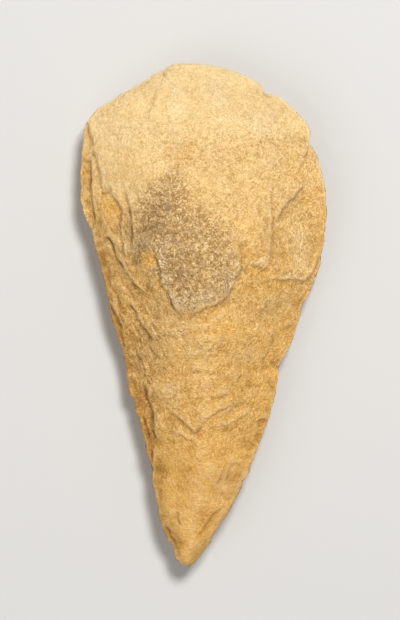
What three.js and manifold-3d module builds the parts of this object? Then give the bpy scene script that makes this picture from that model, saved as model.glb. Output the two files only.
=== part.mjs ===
// A knapped stone hand axe, lying on its flatter face: butt towards +Y, point towards -Y.
// A sphere is drawn out into the rough form between the outline's two sides, and every flake that was
// struck off leaves its hollow in the upper or the under face. A slab is cut away below the resting face.
// Millimetres, +Z up, origin under the middle of the stone on the surface it lies on.
import * as THREE from 'three';
import { mergeVertices } from 'three/addons/utils/BufferGeometryUtils.js';
import Module from 'manifold-3d';

const wasm = await Module();
wasm.setup();

// Driving sizes of the stone
const length = 180;
const width = 89;
const upperRise = 24; // from the cutting edge up to the top of the upper face
const underRise = 14; // from the cutting edge down to the resting face
const restingBulge = 2.2; // how much of the under face's bulge the resting face takes off
const edgeWave = 1.4; // how far the cutting edge wanders up and down
const edgeTurns = { left: 2, right: 1.5 }; // how many times it does so along each side
const flankSlope = 47; // degrees, steepness of the upper face along its left side
const crestSharpness = 8; // higher leaves less rounding on the crest above the left flank
const crustRise = 1.6; // how far the patch of old crust stands above the worked face round it
const nickReach = 2.6; // half the length of a nick in the cutting edge
const leastCover = 0.35; // share of the rough form that stays where a hollow is deepest
const hollowOnset = 0.25; // share of a flake's length over which its hollow deepens from the struck edge

const stoneColour = 0xd9b077;
const stoneRoughness = 0.92;

// Number of sections along the stone and of points round each one
const sectionCount = 98;
const roundCount = 50;

// Half breadths of the outline, as shares of half the width, at heights along the length from the point
const outlineStations = [
  // along, left, right
  [0.01, -0.22, -0.07],
  [0.04, -0.26, 0.03],
  [0.08, -0.34, 0.12],
  [0.13, -0.39, 0.25],
  [0.19, -0.43, 0.36],
  [0.25, -0.49, 0.46],
  [0.3, -0.55, 0.53],
  [0.35, -0.61, 0.58],
  [0.4, -0.64, 0.62],
  [0.45, -0.69, 0.71],
  [0.51, -0.76, 0.79],
  [0.57, -0.81, 0.89],
  [0.62, -0.87, 0.94],
  [0.67, -0.92, 0.98],
  [0.72, -0.99, 0.99],
  [0.78, -1.0, 0.95],
  [0.84, -0.99, 0.88],
  [0.88, -0.96, 0.83],
  [0.91, -0.84, 0.72],
  [0.945, -0.64, 0.54],
  [0.98, -0.4, 0.29],
];
// Where the outline ends at the point and at the butt: along, across
const pointEnd = [0, -0.14];
const buttEnd = [1, -0.2];

// Nicks in the outline: side, height along it, depth as a share of the width
const edgeNicks = [
  ['right', 0.945, 0.018],
  ['right', 0.84, 0.012],
  ['right', 0.52, 0.01],
  ['right', 0.4, 0.01],
  ['right', 0.175, 0.01],
  ['left', 0.61, 0.012],
  ['left', 0.34, 0.01],
  ['left', 0.19, 0.01],
  ['left', 0.045, 0.012],
];

// Profile along the length: where each section's top stands from its left side to its right, the rise of
// the upper face and the fall of the under face as shares of their greatest, and how full the section is
const profile = [
  // along, top, upper, under, fullness
  [0, 0.5, 0.1, 0.14, 1.3],
  [0.1, 0.52, 0.3, 0.34, 1.35],
  [0.3, 0.52, 0.62, 0.68, 1.4],
  [0.48, 0.5, 0.95, 0.95, 1.5],
  [0.6, 0.48, 1.0, 1.0, 1.6],
  [0.75, 0.46, 0.86, 0.94, 1.9],
  [0.88, 0.46, 0.56, 0.68, 2.3],
  [0.96, 0.46, 0.28, 0.4, 2.6],
  [1, 0.46, 0.1, 0.14, 2.6],
];

// Patch of old crust left on the upper face, in shares along the length and across half the width.
// It is broken off in a step round its lower half and runs out smoothly towards the butt.
const crustMiddle = [0.62, -0.1];
const crustHalfLength = 0.125;
const crustHalfBreadth = 0.42;
const crustStep = 0.2; // share of the patch over which its step rises

// Hollows left by flakes: the side and the height along it where the flake was struck, the height along
// the length and across half the width where it ended, its breadth as a share of the width, its depth as a
// share of the thickness, and how abruptly it ended, from 1 for a feathered end to 8 for a step
const upperHollows = [
  // side, struck along, ended along, ended across, breadth, depth, abruptness
  // butt
  ['left', 0.93, 0.74, -0.4, 0.46, 0.028, 1.5],
  ['right', 0.995, 0.8, 0.1, 0.34, 0.024, 1.5],
  ['right', 0.92, 0.77, 0.37, 0.34, 0.026, 1.5],
  // right shoulder
  ['right', 0.69, 0.64, 0.5, 0.36, 0.065, 7],
  ['right', 0.56, 0.555, 0.42, 0.16, 0.045, 4],
  // from the right side across to the crest
  ['right', 0.48, 0.54, 0.12, 0.24, 0.032, 3],
  ['right', 0.4, 0.48, -0.2, 0.27, 0.034, 3],
  ['right', 0.33, 0.41, -0.34, 0.24, 0.03, 2],
  ['right', 0.275, 0.17, -0.3, 0.3, 0.05, 3],
  // point
  ['left', 0.24, 0.14, -0.02, 0.26, 0.035, 3],
  ['right', 0.15, 0.2, -0.06, 0.2, 0.032, 2],
  ['right', 0.07, 0.1, -0.18, 0.16, 0.028, 2],
  // left flank, from the butt down to the point
  ['left', 0.85, 0.84, -0.84, 0.16, 0.025, 3],
  ['left', 0.77, 0.78, -0.78, 0.16, 0.03, 3],
  ['left', 0.7, 0.725, -0.67, 0.16, 0.035, 4],
  ['left', 0.635, 0.665, -0.56, 0.17, 0.05, 6],
  ['left', 0.57, 0.605, -0.49, 0.16, 0.04, 6],
  ['left', 0.505, 0.54, -0.42, 0.17, 0.055, 6],
  ['left', 0.435, 0.47, -0.41, 0.17, 0.045, 4],
  ['left', 0.37, 0.4, -0.37, 0.16, 0.05, 4],
  ['left', 0.305, 0.335, -0.34, 0.16, 0.05, 4],
  ['left', 0.24, 0.265, -0.32, 0.14, 0.045, 4],
];
const underHollows = [
  // side, struck along, ended along, ended across, breadth, depth, abruptness
  ['left', 0.985, 0.83, -0.15, 0.36, 0.04, 2],
  ['left', 0.88, 0.77, -0.5, 0.34, 0.05, 4],
  ['left', 0.74, 0.72, -0.46, 0.32, 0.055, 5],
  ['left', 0.61, 0.645, -0.42, 0.3, 0.06, 5],
  ['left', 0.49, 0.55, -0.36, 0.26, 0.055, 4],
  ['left', 0.38, 0.46, -0.3, 0.26, 0.05, 3],
  ['left', 0.27, 0.36, -0.12, 0.26, 0.05, 3],
  ['left', 0.16, 0.25, -0.06, 0.2, 0.04, 2],
  ['right', 0.97, 0.81, 0.12, 0.36, 0.045, 3],
  ['right', 0.85, 0.75, 0.42, 0.32, 0.055, 5],
  ['right', 0.72, 0.71, 0.42, 0.32, 0.06, 5],
  ['right', 0.58, 0.62, 0.4, 0.28, 0.06, 6],
  ['right', 0.46, 0.52, 0.32, 0.26, 0.05, 4],
  ['right', 0.34, 0.42, 0.08, 0.28, 0.055, 4],
  ['right', 0.23, 0.31, -0.04, 0.24, 0.045, 2],
  ['right', 0.11, 0.18, -0.12, 0.2, 0.035, 2],
];

// A point in plan from its shares: along the length, and across half the width
const plan = ([along, across]) => new THREE.Vector3((across * width) / 2, (along - 0.5) * length, 0);

// The outline starts at the point, runs up the right side to the butt and comes back down the left side
function outlineCurve() {
  const right = outlineStations.map(([along, , breadth]) => plan([along, breadth]));
  const left = outlineStations.map(([along, breadth]) => plan([along, breadth])).reverse();
  return new THREE.CatmullRomCurve3([plan(pointEnd), ...right, plan(buttEnd), ...left], true, 'centripetal');
}

const outline = outlineCurve();
const buttTurn = 0.5; // the butt comes half way round, since both sides have as many stations
const halvings = 40; // steps in the search for a point on a side

// Where one side of the outline is at a height along the length, found by halving
function sidePoint(side, along) {
  if (along === pointEnd[0]) return plan(pointEnd);
  if (along === buttEnd[0]) return plan(buttEnd);
  const height = plan([along, 0]).y;
  let below = side === 'right' ? 0 : 1;
  let above = buttTurn;
  for (let i = 0; i < halvings; i++) {
    const middle = (below + above) / 2;
    if (outline.getPoint(middle).y < height) below = middle;
    else above = middle;
  }
  const point = outline.getPoint((below + above) / 2);
  const inward = side === 'right' ? -1 : 1;
  for (const [nickSide, nickAlong, depth] of edgeNicks) {
    const distance = ((along - nickAlong) * length) / nickReach;
    if (nickSide === side) point.x += inward * depth * width * Math.max(0, 1 - distance ** 2);
  }
  return point;
}

const profileCurve = new THREE.CubicInterpolant(
  profile.map(([along]) => along),
  profile.flatMap(([, ...shares]) => shares),
  profile[0].length - 1,
);

// Height of the cutting edge, which wanders differently along its two sides and is level at both ends
const edgeHeight = (side, along) =>
  underRise + edgeWave * Math.sin(2 * Math.PI * edgeTurns[side] * along) * Math.sin(Math.PI * along);

// The lower of two heights, with the crease between them rounded
const softLower = (first, second) =>
  (first ** -crestSharpness + second ** -crestSharpness) ** (-1 / crestSharpness);

// Adds the plan frame of a hollow: its middle line, as a start, a direction and a reach
function placeHollow([side, struckAlong, endAlong, endAcross, breadth, depth, abruptness]) {
  const start = sidePoint(side, struckAlong);
  const run = plan([endAlong, endAcross]).sub(start);
  return { start, reach: run.length(), direction: run.normalize(), breadth, depth, abruptness };
}

// How deep a hollow is at a point in plan: it deepens from the struck edge, is round across and ends at
// its reach
function hollowDepth({ start, reach, direction, breadth, depth, abruptness }, point) {
  const from = point.clone().sub(start);
  const along = from.dot(direction) / reach;
  const across = (from.x * direction.y - from.y * direction.x) / ((breadth * width) / 2);
  const onset = THREE.MathUtils.clamp(along / hollowOnset, 0, 1);
  const rounding = Math.max(0, 1 - across ** 2);
  const ending = Math.max(0, 1 - Math.abs(along) ** abruptness);
  return depth * (upperRise + underRise) * onset * rounding * ending;
}

const upper = upperHollows.map(placeHollow);
const under = underHollows.map(placeHollow);

// How far the crust stands up at a point in plan
function crustHeight(point) {
  const middle = plan(crustMiddle);
  const up = (point.y - middle.y) / (crustHalfLength * length);
  const across = (point.x - middle.x) / ((crustHalfBreadth * width) / 2);
  const fromMiddle = Math.hypot(across, up);
  const step = THREE.MathUtils.smoothstep(1 - fromMiddle, 0, crustStep);
  return crustRise * step * (1 - THREE.MathUtils.smoothstep(up, 0, 1));
}

// Height of the rough form's face over its cutting edge, less the deepest hollow struck there
function faceRise(point, left, right, along, facing) {
  const [top, upperShare, underShare, fullness] = profileCurve.evaluate(along);
  const topX = left.x + top * (right.x - left.x);
  const out = point.x < topX ? (topX - point.x) / (topX - left.x) : (point.x - topX) / (right.x - topX);
  const dome = 1 - Math.min(out, 1) ** fullness;
  const flank = Math.tan(THREE.MathUtils.degToRad(flankSlope)) * (point.x - left.x);
  const form = facing > 0
    ? softLower(dome * upperShare * upperRise, flank)
    : dome * underShare * (underRise + restingBulge);
  const hollows = facing > 0 ? upper : under;
  const struck = Math.max(...hollows.map((hollow) => hollowDepth(hollow, point)));
  const crust = facing > 0 ? crustHeight(point) : 0;
  return Math.max(leastCover * form, form - struck) + crust;
}

// The sphere's poles become the point and the butt, and its points round each section run along the
// upper face from the right side to the left and back along the under face
function makeStone() {
  const geometry = new THREE.SphereGeometry(1, roundCount, sectionCount);
  const position = geometry.getAttribute('position');
  const vertex = new THREE.Vector3();
  for (let i = 0; i < position.count; i++) {
    vertex.fromBufferAttribute(position, i);
    const evenly = 1 - Math.acos(THREE.MathUtils.clamp(vertex.y, -1, 1)) / Math.PI;
    const closerAtEnds = (1 + vertex.y) / 2;
    const along = (evenly + closerAtEnds) / 2;
    const turn = Math.atan2(vertex.z, vertex.x) / Math.PI;
    const toLeft = Math.abs(turn);
    const left = sidePoint('left', along);
    const right = sidePoint('right', along);
    const point = right.clone().lerp(left, toLeft);
    const edge = THREE.MathUtils.lerp(edgeHeight('right', along), edgeHeight('left', along), toLeft);
    const facing = turn > 0 ? 1 : -1;
    const atRim = toLeft === 0 || toLeft === 1 || left.x >= right.x;
    const rise = atRim ? 0 : faceRise(point, left, right, along, facing);
    position.setXYZ(i, point.x, point.y, edge + facing * rise);
  }
  return geometry;
}

// A closed solid from a geometry, its shared corners merged first
function solidOf(geometry) {
  const bare = geometry.clone();
  bare.deleteAttribute('normal');
  bare.deleteAttribute('uv');
  const merged = mergeVertices(bare);
  const vertProperties = merged.getAttribute('position').array;
  const triVerts = new Uint32Array(merged.index.array);
  return new wasm.Manifold(new wasm.Mesh({ numProp: 3, vertProperties, triVerts }));
}

// Everything below the resting face
function restingSlab() {
  const slab = new THREE.BoxGeometry(2 * width, 2 * length, 2 * restingBulge);
  return slab.translate(0, 0, -restingBulge);
}

function geometryOf(solid) {
  const mesh = solid.getMesh();
  const geometry = new THREE.BufferGeometry();
  geometry.setAttribute('position', new THREE.BufferAttribute(mesh.vertProperties, 3));
  geometry.setIndex(new THREE.BufferAttribute(mesh.triVerts, 1));
  const faceted = geometry.toNonIndexed();
  faceted.computeVertexNormals();
  return faceted;
}

// Moves the stone sideways so that the origin is under the middle of its box
function centred(geometry) {
  geometry.computeBoundingBox();
  const middle = geometry.boundingBox.getCenter(new THREE.Vector3());
  return geometry.translate(-middle.x, -middle.y, 0);
}

const axe = solidOf(makeStone()).subtract(solidOf(restingSlab()));
const stone = new THREE.MeshStandardMaterial({ color: stoneColour, roughness: stoneRoughness, metalness: 0 });
const handAxe = new THREE.Mesh(centred(geometryOf(axe)), stone);
handAxe.name = 'hand_axe';

const group = new THREE.Group();
group.add(handAxe);
export default group;
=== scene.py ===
import math
import random

import bmesh
import bpy
import numpy as np
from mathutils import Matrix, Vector, noise


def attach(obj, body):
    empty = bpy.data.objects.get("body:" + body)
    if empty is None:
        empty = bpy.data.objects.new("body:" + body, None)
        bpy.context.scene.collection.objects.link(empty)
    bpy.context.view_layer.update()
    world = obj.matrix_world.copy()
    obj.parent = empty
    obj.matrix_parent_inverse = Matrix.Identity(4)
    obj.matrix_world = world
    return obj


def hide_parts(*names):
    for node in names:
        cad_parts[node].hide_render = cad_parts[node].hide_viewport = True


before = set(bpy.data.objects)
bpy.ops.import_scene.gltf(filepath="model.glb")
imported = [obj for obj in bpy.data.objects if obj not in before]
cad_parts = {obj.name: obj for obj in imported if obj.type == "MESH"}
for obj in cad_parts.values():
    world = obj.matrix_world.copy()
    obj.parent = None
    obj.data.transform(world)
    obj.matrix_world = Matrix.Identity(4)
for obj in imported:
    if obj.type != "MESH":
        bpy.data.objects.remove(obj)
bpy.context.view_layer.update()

# A knapped stone hand axe that lies flat and is seen from above: butt at +Y, point at -Y.
# Blender works in metres. The relief is worked out in millimetres, in plan, on the upper and the under face.

scene = bpy.context.scene
perMetre = 1000.0
tiny = 1e-6    # metres within which corners are merged, and the least length that anything is divided by
print("frame loaded")

# what a user would change on the stone, in mm where nothing else is said
stone = {
    "voxel": 0.00053,    # mesh size of the finished surface, metres
    "thinTo": 0.76,    # share of the faces left once the mesh of the plainer under face is thinned
    "thinBelow": -0.2,    # upward share of the surface's direction below which it is
    "rimSectors": 300,    # directions in which the outline is looked for
    "rimPoints": 900,    # and points set evenly along it
    "rimSpan": 6,    # points to either side that the outline's direction is taken from
    "rimWidth": 2.6,    # in from the outline over which the smoothing of the form sets in
    "relaxBy": 0.5,    # how far a point moves in one round of smoothing, as a share
    "formRounds": 24,    # smoothing of the faceted form inside the rim
    "rimGrowth": 0.3,    # how far the rim is put out again after its one round of smoothing
    "waveWidth": 3.5,    # in from the outline over which its finer waves fade out
    "rimCut": 0.3,    # how deep the relief may cut at the rim
    "cutInside": 0.3,    # and how much deeper for each mm in from it
    "edgeFade": 0.3,    # upward share of the surface's direction below which the relief fades out
    "restFade": 2.5,    # height over which the relief of the under face sets in above the resting face
    # noise: how the strength of finer and finer layers falls, and how many times finer each one is
    "layers": (0.9, 2.1),
    # how far steps and edges stray from their drawn path, and the noise for it in X and in Y
    "wanderBy": 0.45,
    "wander": [{"size": 2.4, "octaves": 2, "seed": 3.1}, {"size": 2.4, "octaves": 2, "seed": 7.7}],
    # roughness of the break: size, octaves, height, share that the butt keeps, seed
    "roughness": [(15, 2, 0.35, 0.5, 2.3), (5.5, 2, 0.09, 0.6, 8.1), (1.5, 2, 0.05, 0.8, 4.6)],
    "facetSeed": 4,    # draws the slopes of the facets, the same in each run
    "facetScatter": 5.3,    # how far apart in the noise neighbouring facets draw theirs
    # streaks down the steep left flank, and bumps of the old crust
    "streaks": {"size": 1.5, "octaves": 2, "seed": 5.2, "angle": -61, "stretch": 6.0},
    "streakHeight": 0.2,
    "crustBumps": {"size": 1.3, "octaves": 2, "seed": 1.7},
    "crustBumpHeight": 0.09,
    # unevenness of the steps: its noise, how much it changes their height, and the painted shade at the foot
    # of an even one
    "unevenness": {"size": 3.0, "octaves": 2, "seed": 21.3},
    "unevenSteps": 0.5,
    "stepShadeLevel": 0.9,
    # scars from the rim: how far they turn, as a slope, how abruptly they may end, and what two parts keep
    "scarTurn": 0.5,
    "scarEnds": (2, 3, 6),
    "scarsAtButt": 0.4,
    "scarsAtPoint": 0.3,
    # ripples round a knob: share of its height, and how far they stray
    "ripple": 0.12,
    "rippleStray": 2.0,
    # the ragged rim: finer and wider nicks, and the steepness over which they set in
    "nicks": {"size": 1.6, "octaves": 2, "seed": 6.0},
    "nickHeight": 0.36,
    "wideNicks": {"size": 5.0, "octaves": 1, "seed": 9.0},
    "wideNickHeight": 0.3,
    "rimSlope": (0.2, 0.8),
}

# Facets of the break: cell size mm, slope, how far they stand apart mm, stretch along an angle, the share of
# a cell over which neighbours run into each other, and how much of them each part of the stone keeps
facets = [
    {"size": 8.0, "slope": 0.24, "lift": 0.20, "angle": -62, "stretch": 1.9, "blend": 0.16, "seed": 3.4,
     "atFlank": 1.0, "elsewhere": 0.15, "atButt": 0.2, "atCrust": 0.3, "atPoint": 0.5},
    {"size": 6.0, "slope": 0.14, "lift": 0.14, "angle": 27, "stretch": 2.3, "blend": 0.3, "seed": 5.9,
     "atFlank": 0.0, "elsewhere": 1.0, "atButt": 0.2, "atCrust": 0.3, "atPoint": 0.5},
    {"size": 3.1, "slope": 0.16, "lift": 0.08, "angle": -40, "stretch": 1.3, "blend": 0.25, "seed": 9.2,
     "atFlank": 1.2, "elsewhere": 0.8, "atButt": 0.3, "atCrust": 0.8, "atPoint": 0.5},
]

# Scars struck from the rim: how many, how long and broad in mm, how deep, and the seed
rimScars = [
    {"count": 46, "reach": (9, 17), "breadth": (6, 11), "depth": (0.25, 0.6), "seed": 11},
    {"count": 150, "reach": (2.5, 6.5), "breadth": (2.0, 5.0), "depth": (0.15, 0.45), "seed": 23},
]

# Finer waves of the outline: place in plan, reach along the rim, and mm outwards
rimWaves = [(-38.3, 19.6, 2.0, 1.2), (-27.4, -28.6, 2.2, 2.4), (-24, 83, 9.0, -0.5),
            (-19.3, -57.8, 4.5, 1.4), (-12.6, -81.5, 3.0, 1.2), (22.3, 79.9, 1.8, -0.9),
            (33.8, 71.3, 2.0, -0.4), (42, 19.6, 6.0, 0.9), (15.5, -57.8, 2.0, 1.3), (-43.3, 36.8, 2.5, 0.6),
            (-37.9, 74.1, 4.0, 0.6), (-32, 0, 8.0, 0.5)]

# Steps where a flake broke off: the surface on the path's left stands over the one on its right. Path in
# plan, drop at the step, reach of the high and of the low side, half the width of the step, the shares of the
# path over which it fades in and out, how strong the painted shade along its foot is, and how wide that band
# is.
# butt and upper left flank
buttSteps = [
    {"path": [(-42.5, 71), (-41, 67.5), (-39.5, 61), (-38.5, 56), (-37.2, 52), (-36, 48.5)], "drop": 1.0,
     "reach": (4, 3), "half": 0.6, "fades": (0.1, 0.2), "dirty": 0.25},
    {"path": [(-40.3, 56.5), (-40, 50), (-40.2, 46), (-39.8, 41), (-38.9, 36), (-38.2, 30.5)], "drop": 1.0,
     "reach": (3, 1.5), "fades": (0.1, 0.2), "dirty": 0.8},
    {"path": [(-44.5, 57.8), (-42.3, 55.2), (-40.2, 54.6)], "drop": 0.5, "reach": (3, 4)},
    {"path": [(-37.4, 53.2), (-37, 50.5), (-36.5, 48), (-35.8, 44)], "drop": 0.6, "reach": (2.5, 2),
     "dirty": 0.5},
    {"path": [(-34, 47), (-32.9, 44), (-31.6, 41.2), (-29.6, 38.8), (-28.8, 36.6), (-29, 33.5),
              (-29.5, 30.2)], "drop": 0.8, "reach": (3, 3), "dirty": 0.65},
    {"path": [(-28.4, 45), (-27.3, 42.3), (-26.5, 39.2), (-25.6, 35.6), (-25.4, 32), (-25.1, 28.3),
              (-25, 25), (-25.3, 22)], "drop": 0.9, "reach": (4, 2), "dirty": 0.75},
    {"path": [(-29.9, 33), (-29.4, 30), (-28.6, 25.5), (-28.5, 22.5), (-27.6, 19.8)], "drop": 0.9,
     "reach": (2.5, 1.5), "fades": (0.12, 0.2), "dirty": 0.8},
    {"path": [(-36, 28.2), (-33.2, 27.2), (-32, 25), (-31.7, 22.5), (-31, 20.5), (-29.5, 18.5),
              (-28.5, 16.5), (-27, 14), (-25, 11.5), (-23, 9), (-19.8, 7.5)], "drop": 1.05,
     "reach": (4, 2.5), "fades": (0.05, 0.15), "dirty": 0.9},
    {"path": [(-20.5, 10.8), (-18.5, 9.5), (-17.6, 8), (-17, 5)], "drop": 0.45},
    {"path": [(-33.8, 17), (-33.2, 12), (-33.6, 8.5)], "drop": 0.4},
]

# old crust and right shoulder
shoulderSteps = [
    {"path": [(-17.3, 23), (-16.6, 20), (-15.6, 17.6), (-15, 14), (-15, 10.4), (-13.4, 9.2), (-12.2, 6.5),
              (-11, 4.2), (-10.3, 2), (-8.5, 0.8), (-5, 0.4)], "drop": 0.95, "reach": (5, 2.5),
     "fades": (0.15, 0.25), "dirty": 0.7},
    {"path": [(-7, 0.5), (-5, 0.4), (-2, 1), (1, 2.6), (4.5, 3.5), (8.5, 6.5), (11, 11.5), (13, 17),
              (13, 22), (11, 27)], "drop": 0.75, "reach": (5, 3), "half": 0.45, "fades": (0.15, 0.3),
     "dirty": 0.25},
    {"path": [(12.5, 16), (16, 18.2), (19, 17.2), (21, 16), (22.8, 17), (23.4, 20), (23.4, 23), (24, 26),
              (24.1, 30), (24.2, 35), (23.2, 40), (24.2, 45), (25, 52)], "drop": 0.75, "reach": (3, 4),
     "half": 0.45, "fades": (0.1, 0.55), "dirty": 0.35},
    {"path": [(25, 33), (27, 36.2), (29.6, 39.6), (31.5, 41.2), (34, 44.2), (35.6, 47.4)], "drop": 0.6,
     "reach": (3, 4), "dirty": 0.55},
    {"path": [(22, 12), (26, 12.8), (28, 12.2), (32, 13), (35, 12), (37, 12.5), (39.5, 16), (41, 20),
              (42, 26), (43, 32)], "drop": 0.75, "reach": (3, 5), "half": 0.45, "dirty": 0.45},
    {"path": [(32.5, 50), (34.6, 53), (36, 56.5), (37, 59), (38.4, 62.5)], "drop": 0.55, "reach": (2, 3),
     "dirty": 0.4},
    {"path": [(20, 30), (20.4, 27), (21.2, 22.5)], "drop": 0.25},
    {"path": [(-12, 89.5), (-13.5, 85), (-16.5, 78), (-19, 71), (-20, 66)], "drop": 0.55, "reach": (4, 9),
     "half": 1.1, "fades": (0.05, 0.5), "dirty": 0.0},
]

# steep left flank
flankSteps = [
    {"path": [(-28, 5.6), (-25.4, 3.2), (-24, 0.6), (-23.1, -1.6), (-22, -3.6), (-20.3, -5.8),
              (-18.3, -8.2), (-16.8, -10.5)], "drop": 1.1, "reach": (3, 2.5), "dirty": 0.75, "band": 0.9},
    {"path": [(-34.2, 5.4), (-32.3, 1.8), (-31, -0.5), (-30, -3.2), (-28.6, -5.4)], "drop": 0.75,
     "dirty": 0.9},
    {"path": [(-30, -5.2), (-28.8, -9), (-28, -12)], "drop": 0.7, "reach": (2, 1.5), "dirty": 0.8},
    {"path": [(-30.3, 2.4), (-29.2, -1), (-28, -4.5)], "drop": 0.4, "reach": (1.5, 1.5)},
    {"path": [(-27.5, -4.8), (-25, -7), (-23.6, -8), (-22.2, -10.2)], "drop": 0.55, "dirty": 0.5},
    {"path": [(-23.1, -4.2), (-22.4, -9), (-21.3, -12.8)], "drop": 0.5, "reach": (2, 1.5)},
    {"path": [(-19.4, -9.2), (-18.6, -12.4), (-17, -13.8), (-15.6, -15.4)], "drop": 0.65,
     "reach": (2.5, 2)},
    {"path": [(-18.4, -2.4), (-16.6, -5)], "drop": 0.4, "reach": (2, 1.5)},
    {"path": [(-24.8, -11.4), (-22.6, -15.2), (-21, -18.5), (-20.5, -21.8)], "drop": 0.55,
     "reach": (2, 1.5), "dirty": 0.5},
    {"path": [(-25.8, -15.2), (-23.6, -19), (-22.2, -23.4)], "drop": 0.5, "reach": (1.5, 1.5)},
    {"path": [(-12.9, -5.4), (-10.2, -7.9)], "drop": 0.35, "reach": (2, 1.5)},
]

# lower half: groove along the crest, the angled step, and the smaller steps round them
lowerSteps = [
    {"path": [(-21, -23.5), (-20.5, -27.5), (-19.8, -30), (-19, -32), (-18, -34.6), (-17.9, -38),
              (-17.8, -41), (-17.2, -44), (-16.5, -47)], "drop": 1.2, "reach": (3, 2), "half": 0.5,
     "fades": (0.2, 0.15), "dirty": 0.95, "band": 0.75},
    {"path": [(-23, -34.8), (-21.2, -37), (-20.3, -39.2), (-19.5, -42), (-18.8, -45), (-18.3, -47.6),
              (-18.5, -53), (-18.2, -58)], "drop": 1.0, "reach": (2, 1.5), "dirty": 0.9, "band": 0.6},
    {"path": [(-17, -34.5), (-16, -38.4), (-15.3, -41.5)], "drop": 0.3, "reach": (2, 1.5)},
    {"path": [(-13.4, -31), (-12.3, -34), (-10.4, -35.1), (-9, -36.2), (-7.4, -38), (-5, -39.8),
              (-2.8, -42.3), (-1.8, -39.8), (0, -38.3), (1.5, -36.1), (3.5, -35), (6, -33.6), (8.5, -32.5),
              (10.5, -31.2), (14, -30.6), (19, -30)], "drop": 0.5, "reach": (4, 2), "half": 0.3,
     "fades": (0.12, 0.4), "dirty": 0.55},
    {"path": [(5.5, -35.3), (9.5, -33.6), (11.5, -32.1), (14.5, -31.2)], "drop": 0.25, "reach": (1.5, 2)},
    {"path": [(5, -39.5), (9, -39.1), (10.5, -38.1), (12, -37.1), (14, -36), (16, -35), (18, -33.8),
              (20.8, -32.8)], "drop": 0.35, "reach": (2.5, 2), "half": 0.35},
    {"path": [(-12.3, -40), (-10.4, -42), (-8.4, -42.6), (-6.5, -43.4), (-4.6, -44.1), (-3, -45.4),
              (-1.5, -47.5)], "drop": 0.45, "reach": (3, 3), "half": 0.3},
    {"path": [(-4.5, -29.6), (0, -29), (4.5, -28.8), (9.5, -28)], "drop": 0.25, "dirty": 0.2},
    {"path": [(-4.6, -21.4), (-2.4, -18.6), (-0.5, -16.9), (2, -14), (4, -12), (6, -10.6), (8.5, -11.2)],
     "drop": 0.3, "reach": (3, 4), "half": 0.6, "dirty": 0.1},
    {"path": [(19.8, -22.5), (20.6, -18.5), (21.2, -16), (22.4, -13), (23.6, -10), (24.6, -7.5),
              (26, -4.2)], "drop": 0.6, "reach": (4, 5), "half": 0.7, "dirty": 0.12},
    {"path": [(11.1, -24), (12.4, -22.2), (13.4, -20.4)], "drop": 0.35, "reach": (1.5, 1.5), "dirty": 0.5},
    {"path": [(0, -7), (1, -5), (2.2, -3.6)], "drop": 0.35, "reach": (2, 1.5)},
]

# point
pointSteps = [
    {"path": [(4.6, -60.5), (6, -57), (7.2, -54.2)], "drop": 0.45, "reach": (2.5, 2)},
    {"path": [(7.5, -61), (8.2, -57), (9.1, -54), (10.2, -52.6), (13.5, -52.9)], "drop": 0.3},
    {"path": [(-3, -79.8), (-1, -77), (0.6, -74.4), (2.2, -72), (5, -69.8), (7.5, -67.4)], "drop": 0.3,
     "half": 0.4, "dirty": 0.4},
    {"path": [(-9, -69.6), (-8.6, -72.6), (-8.1, -75.5)], "drop": 0.4, "reach": (1.5, 1.5), "half": 0.3,
     "dirty": 0.5},
    {"path": [(-13.4, -74.4), (-11.6, -78), (-10.1, -80.6), (-9.3, -83), (-8, -87)], "drop": 0.3,
     "dirty": 0.5},
]

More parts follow.
